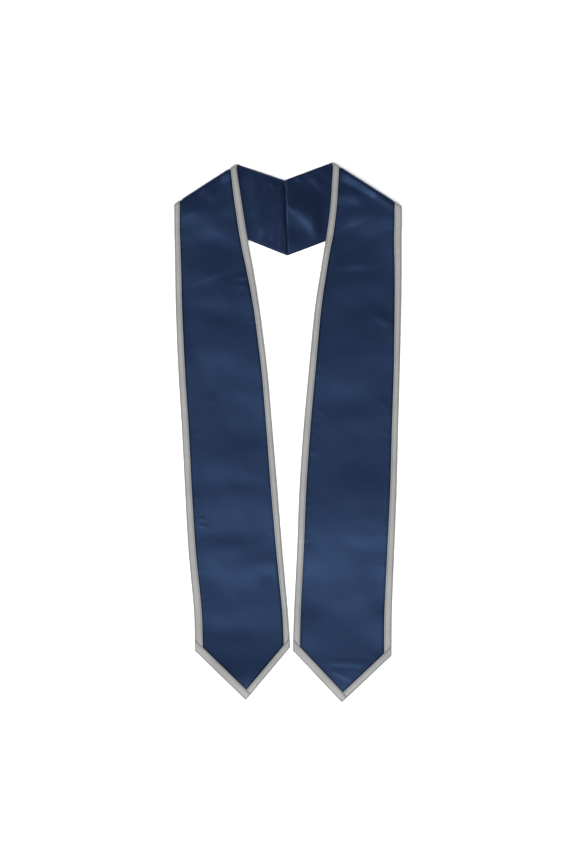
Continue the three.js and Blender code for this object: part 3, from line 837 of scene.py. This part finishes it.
def trimSkins(seed, edgeLine, innerLine, lay, along, turnedEnds):
    # under and upper skin of one trim between its outer and its inner edge
    width = np.linalg.norm(innerLine - edgeLine, axis=1)
    distance = trimColumns(width)
    shares = distance / width[:, None]
    places = edgeLine[:, None] + (innerLine - edgeLine)[:, None] * shares[..., None]
    base, out = lay(places)
    fromInner = width[:, None] - distance
    ripple = alongWaves(seed, along, trim["rippleLength"])[:, None]
    lean = alongWaves(seed + 3, along, trim["rippleLength"] * 2.3)[:, None]
    puff = np.sin(math.pi * np.clip(shares, 0, 1)) ** trim["puffShape"]
    roundOuter = 1 - np.clip(distance / trim["outerRadius"], 0, 1)
    roundInner = 1 - np.clip(fromInner / trim["innerRadius"], 0, 1)
    over = layers["trimOver"] + trim["crown"] * puff * (1 + trim["puffChange"] * lean)
    over = over + trim["ripple"] * ripple * np.sin(math.pi * shares) * 0.5
    for fromEdge in (distance, fromInner):
        fromSeam = (fromEdge - trim["seamFromEdge"]) / trim["seamWidth"]
        over = over - trim["seamDepth"] * np.exp(-fromSeam ** 2)
    over = over - trim["outerDrop"] * (1 - np.sqrt(1 - roundOuter ** 2))
    over = over - trim["innerDrop"] * (1 - np.sqrt(1 - roundInner ** 2))
    under = layers["trimUnder"] - trim["hemDrop"] * (1 - ease(distance / trim["hemRun"]))
    fromEnd = np.minimum(along - along[0], along[-1] - along)
    over = under + (over - under) * roundedEdge(fromEnd, trim["endRadius"])[:, None]
    for row, turned in zip((0, -1), turnedEnds):
        if turned:
            drop = trim["endDrop"] * (1 - ease(np.abs(along - along[row]) / trim["endRun"]))[:, None]
            over, under = over - drop, under - drop
    inside = base + out * under[..., None]
    outside = base + out * over[..., None]
    uv = np.stack([distance, np.broadcast_to(along[:, None], distance.shape)], axis=-1)
    nearest = np.minimum(distance, fromInner)
    # seam: painted shade along each stitched seam of the trim; wear: its rubbed edges
    weights = {"seam": np.exp(-((nearest - trim["seamFromEdge"]) / trim["shade"]) ** 2),
               "wear": np.exp(-nearest / trim["rubbed"])}
    return {"inside": inside, "outside": outside, "out": out, "uv": uv, "weights": weights, "along": along,
            "width": width}


def makeTrim(name, part, edge, edgeLine, innerLine, lay, along, turnedEnds):
    seed = halves[name]["seed"] * 3 + trim["seeds"][part + edge]
    grid = trimSkins(seed, edgeLine, innerLine, lay, along, turnedEnds)
    turned = (halves[name]["side"] > 0) == (edge == "outer")
    if part:
        turned = not turned
    piece = closedSheet(f"{name}_{part}{edge}_trim_satin", grid["inside"], grid["outside"], grid["uv"],
                        grid["weights"], turned)
    return piece, grid


def slopeLines(half, lines, rows, edge):
    corner = lines[edge][-1]
    start = rows["corner"]
    fromCorner = np.linalg.norm(rows[edge][start:] - corner, axis=1)
    same = int(np.argmax(fromCorner > trim["sameAsRows"]))
    side = (corner, unit(rows[edge][start + same] - corner))
    tip = lines["tips"][edge]
    slope = (corner, unit(tip - corner))
    opposite = lines["neck" if edge == "outer" else "outer"][-1]
    sideWidth = lines["trims"][-1][0 if edge == "outer" else 1] * layout["trimWidth"]
    slopeWidth = half[edge + "Slope"] * layout["trimWidth"]
    return {
        "corner": corner, "side": side, "slope": slope, "same": same, "tip": tip,
        "sideInner": movedOver(side, sideWidth, opposite),
        "slopeInner": movedOver(slope, slopeWidth, opposite),
        "slopeClear": movedOver(slope, slopeWidth + layout["seamGap"], opposite),
    }


def makeSideTrim(name, lines, rows, edge, corners):
    # from the line where the strip of the point crosses it up to the seam of the back
    start, same = rows["corner"], corners["same"]
    far = "neck" if edge == "outer" else "outer"
    edgeLine = rows[edge][start:].copy()
    rowWay = unit(rows[far][start:] - edgeLine)
    innerLine = edgeLine + rowWay * rows[edge + "Inset"][start:][:, None]
    share = rows["along"][start:start + same + 1] - rows["along"][start]
    share = (share / share[-1])[:, None]
    steps = np.array(trim["endSteps"][1:])[:, None]
    ended = []
    for line, side in ((edgeLine, "side"), (innerLine, "sideInner")):
        first = crossing(corners[side], corners["slopeClear"])
        line[:same + 1] = first + (line[same] - first) * share
        ended.append(np.concatenate([line[:1], line[0] + unit(line[1] - line[0]) * steps, line[1:]]))
    edgeLine, innerLine = ended
    turn, kind, along = [rows[key][start:] for key in ("turn", "kind", "along")]
    turn = np.concatenate([turn[:1]] * 4 + [turn[1:]])
    kind = np.concatenate([kind[:1]] * 4 + [kind[1:]])
    along = np.concatenate([along[:1], along[0] + steps[:, 0], along[1:]])
    lay = lambda places: laidOver(name, lines, places, turn, kind)
    return makeTrim(name, "", edge, edgeLine, innerLine, lay, along, (False, False))


def alongLine(points, count):
    # count + 1 places along a line of points, with closer ones at both ends
    lengths = np.concatenate([[0], np.cumsum(np.linalg.norm(np.diff(points, axis=0), axis=1))])
    total = lengths[-1]
    near = np.array(trim["endSteps"])
    at = np.concatenate([near, np.linspace(near[-1], total - near[-1], count + 1)[1:-1], total - near[::-1]])
    return np.stack([np.interp(at, lengths, points[:, axis]) for axis in (0, 1)], axis=1), at


def makePointTrim(name, lines, edge, through, a, b):
    # one slope of the point: the strip that runs through at the tip, or the one that ends against it
    if through:
        edgeEnds = [a["corner"], a["tip"], b["tip"]]
        innerEnds = [crossing(a["side"], a["slopeInner"]), crossing(a["slopeInner"], b["slope"])]
    else:
        edgeEnds = [b["corner"], crossing(a["slopeClear"], b["slope"])]
        innerEnds = [crossing(b["side"], b["slopeInner"]), crossing(a["slopeClear"], b["slopeInner"])]
    count = int(np.linalg.norm(innerEnds[0] - innerEnds[1]) / net["rowStep"])
    edgeLine, along = alongLine(np.array(edgeEnds), count)
    innerLine, _ = alongLine(np.array(innerEnds), count)
    def lay(places):
        base = np.concatenate([places, frontBase(name, lines, places)[..., None]], axis=-1)
        return base, np.broadcast_to(np.array([0.0, 0.0, 1.0]), base.shape)
    return makeTrim(name, "point_", edge, edgeLine, innerLine, lay, along, (True, through))


# Machine stitches along both seams of every trim

stitch = {
    "pitch": 0.003,
    "length": 0.0022,
    "thread": 0.00034,        # a little thicker than the real thread, to show
    "sink": 0.00003,
    "endRoom": 3,             # rows left free at either end of a trim
    "wander": 0.05,           # how far a stitch leans out of its row
}


def stitchPaths(name, grids):
    # one object with a line along each seam, and the way out from the cloth at each point
    points, ups, edges = [], [], []
    for grid in grids:
        distance = trimColumns(grid["width"])[0]
        column = int(np.argmin(np.abs(distance - trim["seamFromEdge"])))
        for side in (column, grid["outside"].shape[1] - 1 - column):
            room = stitch["endRoom"] + len(trim["endSteps"])
            line = grid["outside"][room:-room, side] - grid["out"][room:-room, side] * stitch["sink"]
            first = len(points)
            points.extend(line.tolist())
            ups.extend(grid["out"][room:-room, side].tolist())
            edges.extend((first + k, first + k + 1) for k in range(len(line) - 1))
    mesh = bpy.data.meshes.new(name + "_paths")
    shift = layout["frameShift"]
    mesh.from_pydata([(x + shift[0], y + shift[1], z) for x, y, z in points], edges, [])
    attribute = mesh.attributes.new("up", "FLOAT_VECTOR", "POINT")
    attribute.data.foreach_set("vector", np.array(ups, dtype=np.float32).ravel())
    return place(name, mesh)


def addNode(tree, kind, settings=None, **links):
    # a node with its settings, and its sockets set to a value or linked to another node's socket
    node = tree.nodes.new(kind)
    for label, value in (settings or {}).items():
        setattr(node, label, value)
    for label, value in links.items():
        number = label.startswith("input")
        socket = node.inputs[int(label[5:]) if number else label.replace("_", " ")]
        if isinstance(value, bpy.types.NodeSocket):
            tree.links.new(value, socket)
        else:
            socket.default_value = value
    return node


def stitchTree(material):
    tree = bpy.data.node_groups.new("stitchRow", "GeometryNodeTree")
    face = tree.interface
    face.new_socket("Geometry", in_out="INPUT", socket_type="NodeSocketGeometry")
    for label in ("Pitch", "Stitch Length", "Thread"):
        face.new_socket(label, in_out="INPUT", socket_type="NodeSocketFloat")
    face.new_socket("Geometry", in_out="OUTPUT", socket_type="NodeSocketGeometry")
    given = addNode(tree, "NodeGroupInput").outputs
    curve = addNode(tree, "GeometryNodeMeshToCurve", Mesh=given["Geometry"]).outputs["Curve"]
    rows = addNode(tree, "GeometryNodeResampleCurve", {"mode": "LENGTH"}, Curve=curve, Length=given["Pitch"])
    bead = addNode(tree, "GeometryNodeMeshUVSphere", Segments=6, Rings=5, Radius=0.5)
    smooth = addNode(tree, "GeometryNodeSetShadeSmooth", Geometry=bead.outputs["Mesh"])
    tangent = addNode(tree, "GeometryNodeInputTangent").outputs["Tangent"]
    up = addNode(tree, "GeometryNodeInputNamedAttribute", {"data_type": "FLOAT_VECTOR"}, Name="up")
    wander = addNode(tree, "FunctionNodeRandomValue", {"data_type": "FLOAT"},
                     input2=-stitch["wander"], input3=stitch["wander"], Seed=4)
    lean = addNode(tree, "ShaderNodeVectorMath", {"operation": "CROSS_PRODUCT"},
                   input0=up.outputs["Attribute"], input1=tangent)
    leaned = addNode(tree, "ShaderNodeVectorMath", {"operation": "SCALE"},
                     input0=lean.outputs["Vector"], Scale=wander.outputs[1])
    way = addNode(tree, "ShaderNodeVectorMath", {"operation": "ADD"},
                  input0=tangent, input1=leaned.outputs["Vector"])
    alongX = addNode(tree, "FunctionNodeAlignRotationToVector", {"axis": "X"}, Vector=way.outputs["Vector"])
    upZ = addNode(tree, "FunctionNodeAlignRotationToVector", {"axis": "Z", "pivot_axis": "X"},
                  Rotation=alongX.outputs["Rotation"], Vector=up.outputs["Attribute"])
    size = addNode(tree, "ShaderNodeCombineXYZ",
                   X=given["Stitch Length"], Y=given["Thread"], Z=given["Thread"])
    placed = addNode(tree, "GeometryNodeInstanceOnPoints", Points=rows.outputs["Curve"],
                     Instance=smooth.outputs["Geometry"], Rotation=upZ.outputs["Rotation"],
                     Scale=size.outputs["Vector"])
    real = addNode(tree, "GeometryNodeRealizeInstances", Geometry=placed.outputs["Instances"])
    dressed = addNode(tree, "GeometryNodeSetMaterial", Geometry=real.outputs["Geometry"], Material=material)
    addNode(tree, "NodeGroupOutput", Geometry=dressed.outputs["Geometry"])
    return tree


def makeStitches(name, grids, tree, material):
    paths = stitchPaths(name + "_paths", grids)
    modifier = paths.modifiers.new("stitchRow", "NODES")
    modifier.node_group = tree
    sizes = {"Pitch": stitch["pitch"], "Stitch Length": stitch["length"], "Thread": stitch["thread"]}
    for item in tree.interface.items_tree:
        if item.in_out == "INPUT" and item.name in sizes:
            modifier[item.identifier] = sizes[item.name]
    graph = bpy.context.evaluated_depsgraph_get()
    mesh = bpy.data.meshes.new_from_object(paths.evaluated_get(graph), depsgraph=graph)
    bpy.data.objects.remove(paths)
    mesh.materials.clear()
    mesh.materials.append(material)
    return place(name, mesh)


# Materials. The patterns follow the cloth's own map, in metres: x across the band, y along it

def linear(code):
    parts = [int(code[k:k + 2], 16) / 255 for k in (1, 3, 5)]
    return [part / 12.92 if part <= 0.04045 else ((part + 0.055) / 1.055) ** 2.4 for part in parts] + [1.0]


navySatin = {
    "deep": "#070C1D",
    "bright": "#0B1122",
    "worn": "#141C31",
    "tint": "#8BBAFF",        # the floats are dyed, so what they reflect is blue
    "roughness": 0.31,
    "specular": 0.42,
    "sheen": 0.05,
    "sheenRoughness": 0.5,
    "glossRange": 0.015,
    "floatLength": 0.0045,    # real floats are under 1 mm long: drawn coarser to show as faint streaks
    "threadSpacing": 0.0004,  # real threads are some 0.12 mm apart
    "slubLength": 0.03,       # slow streaks where a thread is thicker
    "slubWidth": 0.0016,
    "slubShare": 0.35,
    "mottle": 22.0,
    "dyeRange": (0.3, 1.05),
    "wornShare": 0.35,
    "paintedSeamShade": 0.6,          # painted shade beside seams and trims: the cloth is drawn darker and duller there
    "seamDull": 0.8,
    "grain": 0.00007,
    "weaveStrength": 0.6,
}
navyLining = dict(navySatin, deep="#060A1B", bright="#0A0F1F", roughness=0.32, specular=0.43)
greySatin = dict(navySatin, deep="#646564", bright="#747574", worn="#848483", tint="#FFFFFF", roughness=0.4,
                 specular=0.4, grain=0.00009)


def emptyMaterial(name):
    material = bpy.data.materials.new(name)
    material.use_nodes = True
    material.node_tree.nodes.clear()
    return material, material.node_tree


def noise(tree, places, scale, detail):
    return addNode(tree, "ShaderNodeTexNoise", Vector=places, Scale=scale, Detail=detail).outputs["Fac"]


def stretched(tree, places, width, length):
    node = addNode(tree, "ShaderNodeMapping", Vector=places, Scale=(1 / width, 1 / length, 1))
    return node.outputs["Vector"]


def scaled(tree, value, times, plus=0.0):
    node = addNode(tree, "ShaderNodeMath", {"operation": "MULTIPLY_ADD"},
                   input0=value, input1=times, input2=plus)
    return node.outputs["Value"]


def blended(tree, share, first, second):
    node = addNode(tree, "ShaderNodeMix", {"data_type": "RGBA"}, Factor=share, input6=first, input7=second)
    return node.outputs[2]


def weight(tree, label):
    return addNode(tree, "ShaderNodeAttribute", {"attribute_name": label}).outputs["Fac"]


def satin(name, finish):
    # filament satin: long floats give a broad soft gloss, with faint streaks where threads differ
    material, tree = emptyMaterial(name)
    uv = addNode(tree, "ShaderNodeUVMap", {"uv_map": "cloth"}).outputs["UV"]
    solid = addNode(tree, "ShaderNodeTexCoord").outputs["Object"]
    floats = noise(tree, stretched(tree, uv, finish["threadSpacing"], finish["floatLength"]), 1.0, 2.0)
    streaks = noise(tree, stretched(tree, uv, finish["slubWidth"], finish["slubLength"]), 1.0, 3.0)
    dye = scaled(tree, streaks, finish["slubShare"], noise(tree, solid, finish["mottle"], 2.0))
    least, most = finish["dyeRange"]
    dye = addNode(tree, "ShaderNodeMapRange", Value=dye, From_Min=least, From_Max=most).outputs["Result"]
    dyed = blended(tree, dye, linear(finish["deep"]), linear(finish["bright"]))
    rubbed = scaled(tree, weight(tree, "wear"), finish["wornShare"])
    worn = blended(tree, rubbed, dyed, linear(finish["worn"]))
    # painted shade: the seam attribute darkens the base and lowers the gloss beside seams and trims
    seam = weight(tree, "seam")
    shaded = addNode(tree, "ShaderNodeVectorMath", {"operation": "SCALE"},
                     input0=worn, Scale=scaled(tree, seam, -finish["paintedSeamShade"], 1.0))
    dulled = scaled(tree, seam, -finish["seamDull"] * finish["specular"], finish["specular"])
    weave = addNode(tree, "ShaderNodeBump", Strength=finish["weaveStrength"], Distance=finish["grain"],
                    Height=floats)
    gloss = addNode(tree, "ShaderNodeMapRange", Value=streaks, From_Min=0.2, From_Max=0.8,
                    To_Min=finish["roughness"] - finish["glossRange"],
                    To_Max=finish["roughness"] + finish["glossRange"])
    cloth = addNode(tree, "ShaderNodeBsdfPrincipled", Base_Color=shaded.outputs["Vector"],
                    Roughness=gloss.outputs["Result"], Normal=weave.outputs["Normal"],
                    Specular_IOR_Level=dulled, Specular_Tint=linear(finish["tint"]),
                    Sheen_Weight=finish["sheen"], Sheen_Roughness=finish["sheenRoughness"],
                    Sheen_Tint=linear(finish["tint"]))
    addNode(tree, "ShaderNodeOutputMaterial", Surface=cloth.outputs["BSDF"])
    return material


threadFinish = {
    "deep": "#5F605F",
    "bright": "#7C7D7B",
    "roughness": 0.7,
    "twist": 2600.0,
    "fuzz": 0.00005,
    "fuzzStrength": 0.4,
}


def sewingThread(name, finish):
    # spun polyester thread: matt, tone on tone with the trim, with painted shade in its twist: darker where
    # the bump's noise is low
    material, tree = emptyMaterial(name)
    twist = noise(tree, addNode(tree, "ShaderNodeTexCoord").outputs["Object"], finish["twist"], 1.0)
    # painted shade: the same noise lifts the bump and lightens the thread, so its grooves are drawn darker
    colour = blended(tree, twist, linear(finish["deep"]), linear(finish["bright"]))
    fuzz = addNode(tree, "ShaderNodeBump", Strength=finish["fuzzStrength"], Distance=finish["fuzz"],
                   Height=twist)
    thread = addNode(tree, "ShaderNodeBsdfPrincipled", Base_Color=colour, Roughness=finish["roughness"],
                     Normal=fuzz.outputs["Normal"])
    addNode(tree, "ShaderNodeOutputMaterial", Surface=thread.outputs["BSDF"])
    return material


def paleFloor(name):
    material, tree = emptyMaterial(name)
    paper = addNode(tree, "ShaderNodeBsdfPrincipled", Base_Color=linear("#F4F4F4"), Roughness=0.9,
                    Specular_IOR_Level=0.1)
    addNode(tree, "ShaderNodeOutputMaterial", Surface=paper.outputs["BSDF"])
    return material


# Everything is made here

scene = bpy.context.scene
clothSatin = {
    "face": satin("navy_polyester_satin", navySatin),
    "lining": satin("navy_lining_satin", navyLining),
}
trimSatin = satin("grey_satin_band", greySatin)
threadGrey = sewingThread("grey_sewing_thread", threadFinish)
stitchRow = stitchTree(threadGrey)


def dress(piece, material):
    piece.data.materials.append(material)
    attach(piece, "root")


for name, half in halves.items():
    lines = setOut(half)
    rows = laidRows(lines)

    lining, liningGrid = makeLayer(name, lines, rows, "lining")
    face, faceGrid = makeLayer(name, lines, rows, "face")
    for piece, grid, under, layer in ((lining, liningGrid, [], "lining"), (face, faceGrid, [lining], "face")):
        dress(piece, clothSatin[layer])
        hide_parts(f"{name}_{layer}")
    print(name, "face and lining:", len(face.data.polygons), len(lining.data.polygons), "faces")

    slopes = {edge: slopeLines(half, lines, rows, edge) for edge in ("outer", "neck")}
    through = half["through"]
    other = "neck" if through == "outer" else "outer"
    trims = []
    for edge in ("outer", "neck"):
        piece, grid = makeSideTrim(name, lines, rows, edge, slopes[edge])
        trims.append((piece, grid, f"{name}_{edge}_trim"))
        piece, grid = makePointTrim(name, lines, edge, edge == through, slopes[through], slopes[other])
        trims.append((piece, grid, f"{name}_point_trim_{edge}"))
    for piece, grid, node in trims:
        dress(piece, trimSatin)
        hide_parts(node)
    print(name, "trims:", [len(piece.data.polygons) for piece, grid, node in trims], "faces")

    grids = [grid for piece, grid, node in trims]
    seams = makeStitches(name + "_trim_stitches", grids, stitchRow, threadGrey)
    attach(seams, "root")
    print(name, "stitches:", len(seams.data.polygons), "faces")


# Floor, light and camera

floorMesh = bpy.data.meshes.new("floor")
reach = 6.0
cornersOfFloor = [(-reach, -reach, 0), (reach, -reach, 0), (reach, reach, 0), (-reach, reach, 0)]
floorMesh.from_pydata(cornersOfFloor, [], [(0, 1, 2, 3)])
floor = place("floor", floorMesh)
floor.location.z = -0.0002
floorMesh.materials.append(paleFloor("pale_backing_paper"))
floor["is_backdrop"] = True

studio = {
    "key": {"place": (-0.5, -2.15, 3.7), "size": 3.5, "power": 320.0},
    "top": {"place": (0.6, 1.7, 3.4), "size": 3.0, "power": 110.0},
    "fill": {"place": (-2.8, -0.2, 3.2), "size": 2.0, "power": 60.0},
    "world": 0.2,
}
for label in ("key", "fill", "top"):
    lamp = bpy.data.lights.new(label, "AREA")
    lamp.shape = "SQUARE"
    lamp.size = studio[label]["size"]
    lamp.energy = studio[label]["power"]
    holder = place(label, lamp)
    holder.location = studio[label]["place"]
    holder.rotation_euler = (-Vector(studio[label]["place"])).to_track_quat("-Z", "Y").to_euler()
    holder.visible_camera = False
    holder.visible_glossy = label != "top"     # it lifts the shadows and leaves the gloss alone

world = bpy.data.worlds.new("studio")
world.use_nodes = True
world.node_tree.nodes["Background"].inputs["Color"].default_value = (1, 1, 1, 1)
world.node_tree.nodes["Background"].inputs["Strength"].default_value = studio["world"]
scene.world = world

view = {
    "lens": 150.0,
    "sensor": 36.0,
    "seenHeight": 1.322,      # metres from the top to the bottom of the picture
}
eye = bpy.data.cameras.new("camera")
eye.lens = view["lens"]
eye.sensor_width = view["sensor"]
camera = place("camera", eye)
camera.location = (0, 0, view["seenHeight"] * view["lens"] / view["sensor"])
scene.camera = camera
scene.view_settings.view_transform = "Standard"
scene.view_settings.look = "None"

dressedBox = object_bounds()
for label, box in (("frame", cadBox), ("dressed", dressedBox)):
    print(label, "size:", [round((high - low) / mm, 1) for low, high in zip(*box)])
